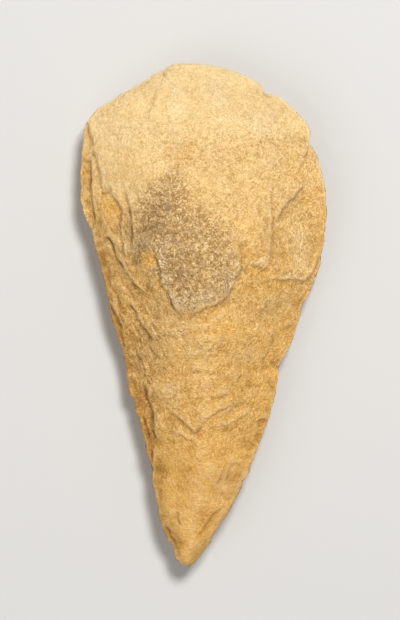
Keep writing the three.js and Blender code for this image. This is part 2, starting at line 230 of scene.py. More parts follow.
# Hollows of larger flakes on the upper face: outline in plan, depth mm (minus stands out), and mm in from
# the outline over which most of it is reached
scars = {
    "shoulder": ([(23.4, 19), (24, 26), (24.4, 34), (29.6, 39.6), (34, 44.2), (36.3, 48), (43, 46),
                  (46, 37), (46, 27), (41, 20), (39, 15), (35, 12), (28, 12.2), (24, 13)], 0.7, 3.0),
    "leftStrip": ([(-41.5, 68.5), (-39.5, 61), (-40.2, 56), (-40, 48), (-39.8, 41), (-38.2, 31),
                   (-42, 29.5), (-46, 39.5), (-47, 53.5), (-46, 64.5)], 0.6, 1.2),
    "flankPlateau": ([(-37.5, 43.5), (-32.4, 43), (-31, 39.5), (-28.5, 39.8), (-26.2, 36), (-25.8, 31.5),
                      (-29.8, 29.5), (-37, 31)], -0.5, 3.0),
    "flankMiddle": ([(-33.5, 25), (-30.5, 19), (-25, 10.5), (-20.5, 7.5), (-16.5, 5.5), (-11, 2),
                     (-15.5, -7.5), (-20, -6), (-24, 1), (-28, 6), (-35, 17)], 0.7, 2.5),
    "belowShoulder": ([(13.5, 15.8), (16, 17.4), (19, 16.5), (21, 15.2), (23, 12.5), (28, 12), (32, 12.8),
                       (35, 11.5), (38.5, 9), (36, 0), (27, -3), (20, 4), (13, 9)], 0.5, 3.0),
    "archHollow": ([(-4, -21), (-0.5, -17), (4, -12), (8, -10.5), (11, -14), (10, -20),
                    (3, -23)], 0.4, 2.5),
    "rightStrip": ([(20, -21.5), (21.2, -16), (23.6, -10), (26, -4.5), (31, -2.5), (36, -3), (34, -8),
                    (31, -14), (28, -19), (28, -27), (22, -27)], 0.5, 2.5),
    "lowerLeft": ([(-29, -22), (-22, -22), (-20.8, -26), (-19.8, -30), (-18, -34.6), (-17.8, -41),
                   (-17, -46), (-18.4, -50), (-18.6, -57), (-23, -57), (-27, -45), (-30, -32)], 0.8, 2.0),
    "underAngle": ([(-9, -36.2), (-2.8, -42.1), (1.5, -36.1), (8.5, -32.5), (18, -30), (20, -33), (14, -36),
                    (5.3, -39.4), (2, -46), (-4, -44.2), (-8, -42.6)], 0.3, 2.5),
    "leftOfAngle": ([(-16, -38.4), (-12.3, -34), (-9, -36.2), (-5, -39.8), (-12, -40.4), (-9, -42.6),
                     (-4.6, -44.1), (-1.8, -47), (-3, -52), (-9, -52), (-15, -46)], 0.3, 2.0),
    "pointRight": ([(4.8, -60), (7.1, -54.5), (9, -53), (12, -52.3), (19, -52.5), (17, -58), (12.5, -66),
                    (7.2, -67.8), (4.5, -65)], 0.2, 2.5),
}

# Broad swells of the upper face: place, reach along and across, angle, height
swells = [(-40, 59, 9, 15, 10, 2.5), (-34, 36, 4, 6, 10, 0.5), (-5, -64, 5, 9, 0, -0.4),
          (4, 70, 16, 8, 0, 0.6), (5.5, -74, 3.5, 11, -35, 2.6), (15, -58, 4, 11, -28, 2.5),
          (35, 11, 9, 5, 10, 0.8), (-7.5, -82.5, 3, 5, 10, 0.6)]

# Bumps that stand out with ripples round them: place, reach along and across, angle, height, mm apart
knobs = [(-12.5, -27, 4.2, 5.5, -15, 0.7, 1.7)]

# Stains on the upper face: place, reach along and across, angle, strength
stains = {
    "iron": [(-36.3, 22.7, 1.8, 0.8, -5, 1.0), (-36.6, 19, 0.9, 2.8, 25, 0.9),
             (-34.6, 10, 1.2, 3.5, 10, 0.6), (-30.5, 37, 4.5, 2.4, -20, 0.85),
             (-32.5, 32.5, 5.0, 4.0, -20, 0.6), (-34.6, 43.2, 1.4, 1.2, 0, 0.6),
             (-42.2, 64, 0.9, 3.5, 0, 0.5), (14.2, 21.8, 1.3, 2.4, 0, 0.7), (41.5, 43.5, 1.0, 2.5, 0, 0.5),
             (33.3, 3.8, 1.0, 1.0, 0, 0.6), (25, -14, 1.2, 2.5, -20, 0.45),
             (21.5, -37.5, 1.6, 3.0, 0, 0.45), (-16.2, -66, 0.8, 1.6, 0, 0.6), (-2, -62, 13, 20, 0, 0.34),
             (-6, -84, 7, 8, 0, 0.6), (6, -71, 4, 12, -32, 0.5), (-29, 15, 2.5, 9, 22, 0.3),
             (-42, 50, 3, 12, 0, 0.35), (-23.5, -29, 1.8, 4.5, 30, 0.55), (-5, 39, 2.5, 3.5, 0, 0.35),
             (-7, 56, 4.5, 3.5, 0, 0.42), (-36, 74, 2.0, 1.0, 0, 0.3), (15, -19, 1.8, 1.0, 0, 0.35),
             (-30.8, -28, 1.5, 5, 5, 0.3)],
    "soot": [(-16.5, 37, 3.6, 4.5, -20, 0.5), (-18.5, 31, 3.8, 4.0, -30, 0.5),
             (-14, 42, 1.8, 4.5, -10, 0.4), (-22.5, 40, 2.8, 4, -20, 0.18), (-14.5, 28.3, 3.2, 1.3, 0, 0.4),
             (-22, 25.5, 2.6, 2.6, 0, 0.45), (-25.8, 24, 1.6, 1.3, 0, 0.65), (-27, 28.5, 1.0, 3.0, 0, 0.3),
             (-23.2, 18.5, 1.9, 1.6, 0, 0.45), (-22, 21.5, 1.5, 1.2, 0, 0.4), (-8, 14, 3.5, 2.5, 0, 0.25),
             (-7, 22, 3.0, 2.0, 0, 0.2), (-10, -0.8, 2.2, 1.0, 0, 0.35), (-13.5, 1.5, 3.0, 1.5, 0, 0.2),
             (-16, -10, 8, 16, 15, 0.12)],
    # brown stains, and a painted shadow under the lower edge of the crust at (-4, -2)
    "brownAndShade": [(-4, -57, 8, 13, 0, 0.26), (31, 7, 8, 3, -10, 0.2), (8, -24, 10, 8, 0, 0.22),
              (-9, -62, 4, 9, 0, 0.32), (-18, -16, 8, 15, 15, 0.12), (-2, -34, 12, 32, 0, 0.17),
              (-34, 13, 3, 12, 18, 0.35), (-13, -41, 6, 5, 0, 0.28), (-4, -2, 9, 3, 0, 0.2),
              (24, -28, 3, 12, -15, 0.2), (43, 34, 2, 10, 0, 0.15), (39.5, 12, 2.5, 8, -20, 0.35),
              (33, -2, 3, 14, -20, 0.25), (-28, 15, 2.5, 9, 22, 0.2)],
    "gold": [(-19.4, 19.4, 2.1, 2.7, 0, 1.15), (-18.5, 48.5, 2.0, 1.0, 0, 0.4),
             (-34, 37, 4.5, 5.0, -20, 0.6), (-6, -86, 7, 6, 0, 0.6), (-44, 57, 3, 12, 0, 0.4),
             (-37.5, 14, 2.5, 12, 20, 0.4), (-26, -34, 3, 14, 15, 0.4), (6, -74, 3, 12, -32, 0.5)],
    "pale": [(-15.5, 22.6, 1.2, 2.0, 20, 0.7), (-13.3, 25.3, 2.0, 1.0, 25, 0.7),
             (-14.3, 18.4, 1.2, 1.8, 0, 0.6), (-12.8, 12.5, 1.3, 2.5, 10, 0.35),
             (-12.3, 37.3, 0.7, 2.2, 10, 0.55), (-9, 4.2, 1.8, 2.4, 30, 0.55),
             (-6.5, 5.5, 2.4, 1.8, 0, 0.45), (0, 5.5, 4.0, 1.6, 15, 0.3), (21.2, 19, 1.6, 1.0, 0, 0.5),
             (22, 67, 6, 4, 0, 0.2), (-32, 50.8, 2.4, 0.6, 0, 0.4), (-24.6, 49.2, 1.8, 0.7, 0, 0.25),
             (11.8, 17, 0.9, 1.3, 0, 0.6), (8, 12, 3, 4, 0, 0.25), (-9.5, 72, 2.5, 9, 0, 0.25),
             (5, 80, 2.2, 8, 5, 0.3), (-11.5, -27.5, 3.5, 4.0, -15, 0.3), (30, 14.3, 3.0, 0.8, 0, 0.4),
             (-8, -8, 8, 8, 0, 0.16)],
}

# where the ground is more or less ochre: place, reach along and across, angle, share
ochreShifts = [(36, 20, 7, 12, 20, -0.6), (27, 2, 8, 4, 0, -0.3), (15, -13, 5, 6, 0, -0.4),
               (10, -61, 4, 7, -25, -0.6), (-18, 0, 4, 5, 0, -0.3), (-30, 48, 9, 11, 0, 0.25),
               (-8, 4, 8, 5, 0, -0.2), (-41, 58, 4, 12, 0, 0.35)]

# where the ground has a thin film of the crust's colour: place, reach along and across, angle, strength
film = [(4, 57, 13, 11, 0, 0.55), (24, 47, 10, 14, 0, 0.45), (13, 40, 5, 9, 0, 0.4),
        (-20, -14, 7, 15, 15, 0.3), (1, -16, 9, 10, 0, 0.35), (-9, -2, 8, 6, 0, 0.35),
        (-22, 42, 4, 6, 0, 0.3), (12, 2, 12, 5, 0, 0.35), (-28, 12, 5, 12, 25, 0.3)]

# crest between the steep left flank and the rest, and the edge of the old crust
flankEdge = [(-44, 66), (-40, 55), (-36, 46), (-32, 42), (-25.5, 36), (-25, 25), (-17, 12), (-12, 2),
             (-14, -14), (-16, -30), (-16, -46), (-17, -60)]
crustOutline = [(-14, 51), (-10, 54.5), (-5.5, 53), (-3.5, 47), (-1, 40.5), (5, 36), (10.5, 31.5),
                (13.5, 25), (13, 17), (10, 9.5), (5, 3), (-5, 0), (-10.5, 2), (-15, 9), (-18, 13),
                (-23.5, 17), (-27.5, 23), (-28, 31), (-26.5, 38), (-23.5, 44), (-18.5, 48)]


def smooth(low, high, value):
    share = np.clip((value - low) / (high - low), 0.0, 1.0)
    return share * share * (3.0 - 2.0 * share)


def readPlaces(mesh):
    flat = np.empty(len(mesh.vertices) * 3)
    mesh.vertices.foreach_get("co", flat)
    return flat.reshape(-1, 3) * perMetre


def readNormals(mesh):
    flat = np.empty(len(mesh.vertices) * 3, dtype=np.float32)
    mesh.vertex_normals.foreach_get("vector", flat)
    return flat.reshape(-1, 3).astype(float)


def writePlaces(mesh, places):
    mesh.vertices.foreach_set("co", (places / perMetre).ravel())
    mesh.update()


def readEdges(mesh):
    ends = np.empty(len(mesh.edges) * 2, dtype=np.int32)
    mesh.edges.foreach_get("vertices", ends)
    return ends.reshape(-1, 2)


# each point moves towards the mean of its neighbours, as often as asked, as far as the weight lets it
def relax(values, ends, rounds, weight):
    count = len(values)
    first, second = ends[:, 0], ends[:, 1]
    near = np.bincount(first, minlength=count) + np.bincount(second, minlength=count)
    result = values.copy()
    for _ in range(rounds):
        for axis in range(values.shape[1]):
            column = result[:, axis]
            total = np.bincount(first, column[second], count) + np.bincount(second, column[first], count)
            result[:, axis] = column + weight * (total / near - column)
    return result


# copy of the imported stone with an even, fine mesh
def evenStone():
    bm = bmesh.new()
    bm.from_mesh(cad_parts["hand_axe"].data)
    bmesh.ops.remove_doubles(bm, verts=bm.verts, dist=tiny)
    mesh = bpy.data.meshes.new("handAxeStone")
    bm.to_mesh(mesh)
    bm.free()
    piece = bpy.data.objects.new("handAxeStone", mesh)
    scene.collection.objects.link(piece)
    remesh = piece.modifiers.new("evenMesh", "REMESH")
    remesh.mode = "VOXEL"
    remesh.voxel_size = stone["voxel"]
    shaped = piece.evaluated_get(bpy.context.evaluated_depsgraph_get())
    piece.data = bpy.data.meshes.new_from_object(shaped)
    piece.modifiers.clear()
    return piece


# the outline as the farthest points from the middle in every direction, spaced out evenly along it
def outlineLoop(plan):
    angle = np.arctan2(plan[:, 1], plan[:, 0])
    reach = np.hypot(plan[:, 0], plan[:, 1])
    sector = ((angle + math.pi) / (2 * math.pi) * stone["rimSectors"]).astype(int) % stone["rimSectors"]
    order = np.lexsort((-reach, sector))
    _, firsts = np.unique(sector[order], return_index=True)
    loop = plan[order[firsts]]
    loop = np.vstack([loop, loop[:1]])
    walked = np.concatenate([[0.0], np.cumsum(np.linalg.norm(np.diff(loop, axis=0), axis=1))])
    even = np.linspace(0.0, walked[-1], stone["rimPoints"], endpoint=False)
    return np.stack([np.interp(even, walked, loop[:, 0]), np.interp(even, walked, loop[:, 1])], axis=1)


def gapTo(points, loop):
    gap = np.full(len(points), np.inf)
    for place in loop:
        gap = np.minimum(gap, np.hypot(points[:, 0] - place[0], points[:, 1] - place[1]))
    return gap


# the direction in plan that points out of the outline at one of its points
def outwardAt(loop, at):
    span = stone["rimSpan"]
    run = Vector(loop[(at + span) % len(loop)] - loop[at - span]).orthogonal().normalized()
    return -run if run.dot(Vector(loop.mean(axis=0) - loop[at])) > 0 else run


def waveRim(places, loop, held):
    moved = places.copy()
    for x, y, reach, amount in rimWaves:
        at = int(np.argmin(np.hypot(loop[:, 0] - x, loop[:, 1] - y)))
        weight = held * np.exp(-((places[:, 0] - x) ** 2 + (places[:, 1] - y) ** 2) / reach ** 2)
        moved[:, :2] += amount * weight[:, None] * np.array(outwardAt(loop, at))
    return moved


axe = evenStone()
mesh = axe.data
ends = readEdges(mesh)
places = readPlaces(mesh)
rim = outlineLoop(places[:, :2])
rimGap = gapTo(places[:, :2], rim)
places = relax(places, ends, 1, stone["relaxBy"])
places = relax(places, ends, stone["formRounds"], stone["relaxBy"] * smooth(0.0, stone["rimWidth"], rimGap))
places = waveRim(places, rim, 1.0 - smooth(0.0, stone["waveWidth"], rimGap))
places[:, 2] = np.maximum(places[:, 2], 0.0)
writePlaces(mesh, places)
normals = readNormals(mesh)
plan = places[:, :2].copy()
onTop = smooth(0.0, stone["edgeFade"], normals[:, 2])
onUnder = smooth(0.0, stone["edgeFade"], -normals[:, 2])
onRim = 1.0 - smooth(0.0, stone["rimWidth"], rimGap)
top = np.nonzero(onTop > 0)[0]
under = np.nonzero(onUnder > 0)[0]
topPlan = plan[top]
print("stone form:", len(mesh.vertices), "vertices,", len(mesh.polygons), "faces")


# places in plan, along a direction and across it
def turnPlan(x, y, angle):
    turn = math.radians(angle)
    return x * math.cos(turn) + y * math.sin(turn), y * math.cos(turn) - x * math.sin(turn)


# layered noise in plan or in space, turned by an angle and stretched along it where streaks are wanted
def noiseOf(points, size, octaves=1, seed=0.0, angle=0.0, stretch=1.0):
    along, across = turnPlan(points[:, 0], points[:, 1], angle)
    level = points[:, 2] / size if points.shape[1] > 2 else np.zeros(len(points))
    spots = zip(along / (size * stretch), across / size, level + seed)
    return np.array([noise.fractal(Vector(spot), *stone["layers"], octaves) for spot in spots])


# a path with its corners cut off, open or closed
def roundedPath(corners, closed=False, rounds=2, cut=0.25):
    path = np.array(corners, dtype=float)
    for _ in range(rounds):
        after = np.roll(path, -1, axis=0)
        pairs = np.stack([(1.0 - cut) * path + cut * after, cut * path + (1.0 - cut) * after], axis=1)
        if closed:
            path = pairs.reshape(-1, 2)
        else:
            path = np.vstack([path[:1], pairs[:-1].reshape(-1, 2)[1:-1], path[-1:]])
    return np.vstack([path, path[:1]]) if closed else path


# how far points in plan are from a path, plus on its left and minus on its right, and where along it
def besidePath(points, path):
    nearest = np.full(len(points), np.inf)
    side = np.zeros(len(points))
    share = np.zeros(len(points))
    lengths = np.linalg.norm(np.diff(path, axis=0), axis=1)
    walked = np.concatenate([[0.0], np.cumsum(lengths)])
    for i, reach in enumerate(lengths):
        run = (path[i + 1] - path[i]) / reach
        offset = points - path[i]
        along = offset @ run
        held = np.clip(along, 0.0, reach)
        gap = np.hypot(offset[:, 0] - held * run[0], offset[:, 1] - held * run[1])
        turned = run[0] * offset[:, 1] - run[1] * offset[:, 0]
        closer = gap < nearest
        nearest = np.where(closer, gap, nearest)
        side = np.where(closer, np.sign(turned) * gap, side)
        share = np.where(closer, (walked[i] + held) / walked[-1], share)
    return side, share


# how far points in plan are inside a closed path, minus outside it
def insideOf(points, loop):
    gap = np.abs(besidePath(points, loop)[0])
    crossings = np.zeros(len(points), dtype=int)
    for (x0, y0), (x1, y1) in zip(loop[:-1], loop[1:]):
        if y0 == y1:
            continue
        spans = (points[:, 1] > min(y0, y1)) & (points[:, 1] <= max(y0, y1))
        crossing = x0 + (points[:, 1] - y0) * (x1 - x0) / (y1 - y0)
        crossings += spans & (crossing > points[:, 0])
    return np.where(crossings % 2 == 1, gap, -gap)


# height of a step, and the painted shade along its foot, which lies a little towards the low side
def stepHeight(points, path, drop, reach=(2, 2), half=0.35, fades=(0.2, 0.2), dirty=0.35, band=0.5,
               foot=0.4):
    side, share = besidePath(points, roundedPath(path))
    jump = smooth(-half, half, side)
    high = drop / 2 * np.exp(-np.abs(side) / reach[0])
    low = -drop / 2 * np.exp(-np.abs(side) / reach[1])
    fade = smooth(0.0, fades[0], share) * smooth(0.0, fades[1], 1.0 - share)
    stepShade = fade * dirty * np.exp(-((side + foot * band) / band) ** 2)
    return fade * (jump * high + (1.0 - jump) * low), stepShade


def scarDepth(points, corners, depth, reach):
    inside = insideOf(points, roundedPath(corners, closed=True))
    return depth * (1.0 - np.exp(-np.maximum(inside, 0.0) / reach))


# faces of a break: each cell of a scatter of points is a plane with a slope and a height of its own
def facetHeight(points, values):
    along, across = turnPlan(points[:, 0], points[:, 1], values["angle"])
    spots = zip(along / (values["size"] * values["stretch"]), across / values["size"])
    result = np.empty(len(points))
    for i, spot in enumerate(spots):
        place = Vector((*spot, values["seed"]))
        gaps, seeds = noise.voronoi(place)
        planes = []
        for seed in seeds[:2]:    # of its own cell and the next one
            tilt = noise.noise_vector(seed * stone["facetScatter"])
            offset = place - seed
            planes.append(values["size"] * values["slope"] * (tilt.x * offset.x + tilt.y * offset.y)
                          + values["lift"] * tilt.z)
        own = min(1.0, (gaps[1] - gaps[0]) / values["blend"])
        result[i] = planes[1] + (planes[0] - planes[1]) * (1.0 + own) / 2
    return result


# scars struck inwards from places on the rim, the deepest counting where they overlap
def rimScarDepth(points, values, extraSeed=0):
    chance = random.Random(values["seed"] + extraSeed)
    depth = np.zeros(len(points))
    for _ in range(values["count"]):
        at = chance.randrange(len(rim))
        run = -outwardAt(rim, at)
        run = (run + chance.uniform(-stone["scarTurn"], stone["scarTurn"]) * run.orthogonal()).normalized()
        reach = chance.uniform(*values["reach"])
        half = chance.uniform(*values["breadth"]) / 2
        deepest = chance.uniform(*values["depth"])
        abruptness = chance.choice(stone["scarEnds"])
        offset = points - rim[at]
        along = (offset @ np.array(run)) / reach
        across = (offset @ np.array(run.orthogonal())) / half
        shape = np.maximum(0.0, 1.0 - np.abs(along) ** abruptness) * np.maximum(0.0, 1.0 - across ** 2)
        depth = np.maximum(depth, deepest * shape)
    return depth


# share that a soft oval spot has of points in plan
def ovalShare(points, x, y, reachX, reachY, angle):
    along, across = turnPlan(points[:, 0] - x, points[:, 1] - y, angle)
    return np.exp(-(along / reachX) ** 2 - (across / reachY) ** 2)


def spotMask(points, spots):
    mask = np.zeros(len(points))
    for *oval, strength in spots:
        mask = np.maximum(mask, strength * ovalShare(points, *oval))
    return mask


# Parts of the stone that are worked out apart, in mm in plan; pairs run from its start to where it is full
regions = {
    "butt": (15.0, 50.0),    # along Y, in the middle
    "buttMiddle": -5.0,    # X of its middle
    "buttArch": 0.25,    # how much further up it starts for each mm beside that
    "point": (-42.0, -52.0),    # along Y
    "flank": (-1.5, 3.0),    # across the crest between it and the rest
    "crustInset": 1.0,    # how far inside its outline the edge of the crust lies
    "crustBlur": 1.5,    # width over which the crust ends
    "crustTop": (5.0, 40.0),    # along Y, where it ends more softly
    "crustTopBlur": 7.5,    # and how much wider that is
    "crustWander": {"size": 5.0, "octaves": 3, "seed": 14.2},
    "crustWanderBy": 2.5,    # how far its edge strays
}
buttFrom = plan[:, 1] - regions["buttArch"] * np.abs(plan[:, 0] - regions["buttMiddle"])
atButt = np.where(onTop > 0, smooth(*regions["butt"], buttFrom), 0.0)
atPoint = smooth(*regions["point"], plan[:, 1])
wander = np.stack([noiseOf(topPlan, **layer) for layer in stone["wander"]], axis=1)
strayed = topPlan + stone["wanderBy"] * wander
onFlank = smooth(*regions["flank"], -besidePath(topPlan, roundedPath(flankEdge))[0])
crustInside = insideOf(strayed, roundedPath(crustOutline, closed=True))
crustInside += regions["crustWanderBy"] * noiseOf(topPlan, **regions["crustWander"])
crustBlur = regions["crustBlur"] + regions["crustTopBlur"] * smooth(*regions["crustTop"], topPlan[:, 1])
onCrust = smooth(-1.0, 1.0, (crustInside - regions["crustInset"]) / crustBlur)
crusted, flanked = np.zeros(len(places)), np.zeros(len(places))
crusted[top] = onCrust
flanked[top] = onFlank

height = np.zeros(len(places))    # above the smoothed form, outwards on either face
for size, octaves, rise, buttShare, seed in stone["roughness"]:
    height += (1.0 - (1.0 - buttShare) * atButt) * rise * noiseOf(places, size, octaves, seed)
noise.seed_set(stone["facetSeed"])
for values in facets:
    kept = (1.0 - (1.0 - values["atButt"]) * atButt) * (1.0 - (1.0 - values["atCrust"]) * crusted)
    kept *= 1.0 - (1.0 - values["atPoint"]) * atPoint
    kept *= values["elsewhere"] + (values["atFlank"] - values["elsewhere"]) * flanked
    height += kept * facetHeight(plan, values)
height[top] += onFlank * stone["streakHeight"] * noiseOf(topPlan, **stone["streaks"])
height[top] += onCrust * stone["crustBumpHeight"] * noiseOf(topPlan, **stone["crustBumps"])
print("roughness and facets")

# painted shade along the foot of each step
stepShade = np.zeros(len(places))
unevenness = noiseOf(topPlan, **stone["unevenness"])
for values in buttSteps + shoulderSteps + flankSteps + lowerSteps + pointSteps:
    stepped, footShade = stepHeight(strayed, **values)
    height[top] += stepped * (1.0 + stone["unevenSteps"] * unevenness)
    stepShade[top] = np.maximum(stepShade[top], footShade * (stone["stepShadeLevel"] + unevenness))
for values in scars.values():
    height[top] -= scarDepth(strayed, *values)
kept = 1.0 - (1.0 - stone["scarsAtButt"]) * atButt[top]
kept *= 1.0 - (1.0 - stone["scarsAtPoint"]) * atPoint[top]
for values in rimScars:
    height[top] -= kept * rimScarDepth(topPlan, values)
    height[under] -= rimScarDepth(plan[under], values, 1)
for *oval, rise in swells:
    height[top] += rise * ovalShare(topPlan, *oval)
for *oval, rise, apart in knobs:
    gap = np.hypot(topPlan[:, 0] - oval[0], topPlan[:, 1] - oval[1])
    ripple = np.sin(2.0 * math.pi * gap / apart + stone["rippleStray"] * wander[:, 0])
    height[top] += rise * ovalShare(topPlan, *oval) * (1.0 + stone["ripple"] * ripple)
print("steps and scars")

cutLimit = stone["rimCut"] + stone["cutInside"] * rimGap
height = np.where(height < 0.0, -cutLimit * np.tanh(-height / cutLimit), height)
resting = smooth(0.0, stone["restFade"], places[:, 2])
places[:, 2] += height * onTop
places[:, 2] -= height * onUnder * resting
outward = normals[:, :2] / np.maximum(np.hypot(normals[:, 0], normals[:, 1]), tiny)[:, None]
ragged = (stone["rimGrowth"] + stone["nickHeight"] * noiseOf(places, **stone["nicks"])
          + stone["wideNickHeight"] * noiseOf(places, **stone["wideNicks"]))
ragged *= onRim * smooth(*stone["rimSlope"], 1.0 - np.abs(normals[:, 2]))
places[:, :2] += outward * ragged[:, None]
places[:, 2] = np.maximum(places[:, 2], 0.0)
writePlaces(mesh, places)
mesh.polygons.foreach_set("use_smooth", np.ones(len(mesh.polygons), dtype=bool))
print("relief from", round(height.min(), 2), "to", round(height.max(), 2), "mm")

# How painted shade in hollows, the pale rim (wear and painted highlight), painted shade on the lower left
# rim, ochre and
# specks lie on the stone: lengths in mm in plan, and pairs from where a zone starts to where it is full.
marks = {
    "blotches": {"size": 4.0, "octaves": 3, "seed": 12.0},    # unevenness that all of them share
    "patchy": {"stains": 0.6, "crust": 0.3, "wearAndHighlight": 0.6, "leftRimShade": 0.5, "ochre": 0.22, "specked": 0.2},
    "stray": 0.8,    # how far stains stray from their place
    "cavityRounds": 14,    # how wide the look-round for hollows and ridges is
    "cavityDepth": 0.09,    # hollow or ridge that counts as full
    # zones across X, from a line that leans with Y up to a limit, and along Y
    "leftEdge": {"across": (15.0, -25.0), "along": (78.0, 42.0), "lean": 0.45, "level": 10.0},
    "lowerRight": {"across": (5.0, 20.0), "along": (48.0, 25.0), "lean": -0.2, "limit": 0.0},
    "speckZone": {"across": (-36.0, -20.0), "along": (76.0, 60.0), "lean": -0.2, "limit": 45.0},
    # and zones along Y alone
    "lowerLeft": (40.0, 20.0), "pointEnd": (-66.0, -84.0), "aboveTip": (-55.0, -35.0),
    # pale rim, partly wear and partly painted highlight where the light catches the edge: in from the
    # outline, its strength, and the shares of it that these zones lose
    "wearAndHighlightWidth": (1.1, 0.2), "wearAndHighlight": 0.7, "paleRimLossLeft": 0.8, "paleRimLossRight": 0.6, "paleRimLossPoint": 0.7,
    # painted shade along the lower left rim, which faces away from the light: its width in from the outline,
    # and its strength
    "leftRimShadeWidth": (6.5, 0.0), "leftRimShade": 0.9,
    # ochre: its share on the butt, where that ends along Y and X, and where the full ochre starts below
    "buttOchre": 0.45, "buttOchreEnd": (78.0, 50.0), "buttOchreAcross": (-38.0, 4.0),
    "fullOchre": (50.0, 4.0), "ochreLean": 0.35, "ochreLeanFrom": 12.0, "flankOchre": 0.6,
    "ochreClouds": {"size": 14.0, "octaves": 2, "seed": 15.5}, "cloudiness": 0.2,
    # specks: their share everywhere, in their zone, on the flank and on the crust, and what gold stains hide
    "specks": 0.1, "zoneSpecks": 0.3, "flankSpecks": 0.2, "crustSpecks": 0.95, "goldHides": 0.7,
}


# values on the points of the mesh that the stone's material reads
def storeMask(name, values):
    mask = mesh.attributes.new(name, "FLOAT", "POINT")
    mask.data.foreach_set("value", np.clip(values, 0.0, 1.0).astype(np.float32))


def onUpper(values):
    mask = np.zeros(len(places))
    mask[top] = values * onTop[top]
    return mask


def patchy(name, base=1.0):
    return base + marks["patchy"][name] * blotches


def zoneShare(across, along, lean, level=0.0, limit=math.inf):
    leaning = plan[:, 0] + lean * (np.minimum(plan[:, 1], limit) - level)
    return smooth(*across, leaning) * smooth(*along, plan[:, 1])


normals = readNormals(mesh)
levelled = relax(places, ends, marks["cavityRounds"], stone["relaxBy"])
standing = np.einsum("ij,ij->i", places - levelled, normals)
# masks for painted shade in hollows and along the foot of steps, and for worn ridges
storeMask("hollow", -standing / marks["cavityDepth"])
storeMask("ridge", standing / marks["cavityDepth"])
storeMask("stepShade", stepShade)
blotches = noiseOf(places, **marks["blotches"])
for name, spots in stains.items():
    storeMask(name, onUpper(spotMask(strayed + marks["stray"] * wander, spots)) * patchy("stains"))
storeMask("crust", onUpper(np.maximum(onCrust, spotMask(strayed, film))) * patchy("crust"))

leftEdge = zoneShare(**marks["leftEdge"])
lowerLeft = leftEdge * smooth(*marks["lowerLeft"], plan[:, 1])
# pale rim, partly wear and partly painted highlight on the lit edge; less of it on the left edge, the lower
# right and the point
wearAndHighlightShare = 1.0 - marks["paleRimLossLeft"] * leftEdge
wearAndHighlightShare *= 1.0 - marks["paleRimLossRight"] * zoneShare(**marks["lowerRight"])
wearAndHighlightShare *= 1.0 - marks["paleRimLossPoint"] * smooth(*marks["pointEnd"], plan[:, 1])
storeMask("wearAndHighlight", smooth(*marks["wearAndHighlightWidth"], rimGap) * patchy("wearAndHighlight", marks["wearAndHighlight"]) * wearAndHighlightShare)
# painted shade along the lower left rim, which faces away from the light
storeMask("leftRimShade", smooth(*marks["leftRimShadeWidth"], rimGap) * lowerLeft * patchy("leftRimShade", marks["leftRimShade"]))

ochre = marks["buttOchre"] * smooth(*marks["buttOchreEnd"], plan[:, 1])
ochre *= smooth(*marks["buttOchreAcross"], plan[:, 0])
ochreFrom = plan[:, 1] - marks["ochreLean"] * np.maximum(plan[:, 0] - marks["ochreLeanFrom"], 0.0)
ochre += (1.0 - ochre) * smooth(*marks["fullOchre"], ochreFrom)
for *oval, share in ochreShifts:
    ochre += share * ovalShare(plan, *oval)
ochre += marks["patchy"]["ochre"] * blotches + marks["cloudiness"] * noiseOf(places, **marks["ochreClouds"])
ochre[top] = np.maximum(ochre[top], marks["flankOchre"] * onFlank)
storeMask("ochre", ochre)

specked = marks["zoneSpecks"] * zoneShare(**marks["speckZone"]) * smooth(*marks["aboveTip"], plan[:, 1])
specked += patchy("specked", marks["specks"])
specked[top] = np.maximum(specked[top] + marks["flankSpecks"] * onFlank, marks["crustSpecks"] * onCrust)
gilded = np.clip(onUpper(spotMask(strayed, stains["gold"])), 0.0, 1.0)
storeMask("specked", specked * (1.0 - marks["goldHides"] * gilded))
print("masks stored")


# coarser mesh on the under face, the masks kept
def thinUnder(piece, ratio):
    below = piece.vertex_groups.new(name="below")
    below.add([int(i) for i in np.nonzero(normals[:, 2] < stone["thinBelow"])[0]], 1.0, "REPLACE")
    thin = piece.modifiers.new("thin", "DECIMATE")
    thin.vertex_group = "below"
    thin.ratio = ratio
    shaped = piece.evaluated_get(bpy.context.evaluated_depsgraph_get())
    piece.data = bpy.data.meshes.new_from_object(shaped)
    piece.modifiers.clear()
    piece.vertex_groups.clear()


thinUnder(axe, stone["thinTo"])
print("mesh thinned to", len(axe.data.polygons), "faces")

# soft studio light from the butt's side, on a pale floor: metres, watts, and mm for the lens and the sensor
studio = {
    "floorSize": 4.0, "floorColour": (0.62, 0.61, 0.59, 1.0), "floorRoughness": 0.8,
    "keyPlace": (0.23, 0.47, 1.12), "keySize": 0.28, "keyPower": 14.0,
    "fillPlace": (-0.5, -0.5, 0.85), "fillSize": 1.0, "fillPower": 3.7,
    "skyColour": (1.0, 0.98, 0.96, 1.0), "skyStrength": 0.25,
    "lens": 150.0, "sensor": 36.0, "farthest": 20.0,
    "frameHeight": 0.2223,    # what the longer side of the frame shows
    "edgeLevel": 0.014,    # at this height, where the edge of the stone is
    "aim": (-0.00134, 0.0017),
}


def plainMaterial(name, colour, roughness):
    material = bpy.data.materials.new(name)
    material.use_nodes = True
    shader = material.node_tree.nodes["Principled BSDF"]
    shader.inputs["Base Color"].default_value = colour
    shader.inputs["Roughness"].default_value = roughness
    return material


def makeFloor():
    bm = bmesh.new()
    bmesh.ops.create_grid(bm, x_segments=1, y_segments=1, size=studio["floorSize"] / 2)
    mesh = bpy.data.meshes.new("floor")
    bm.to_mesh(mesh)
    bm.free()
    floor = bpy.data.objects.new("floor", mesh)
    floor.data.materials.append(plainMaterial("paleFloor", studio["floorColour"], studio["floorRoughness"]))
    scene.collection.objects.link(floor)


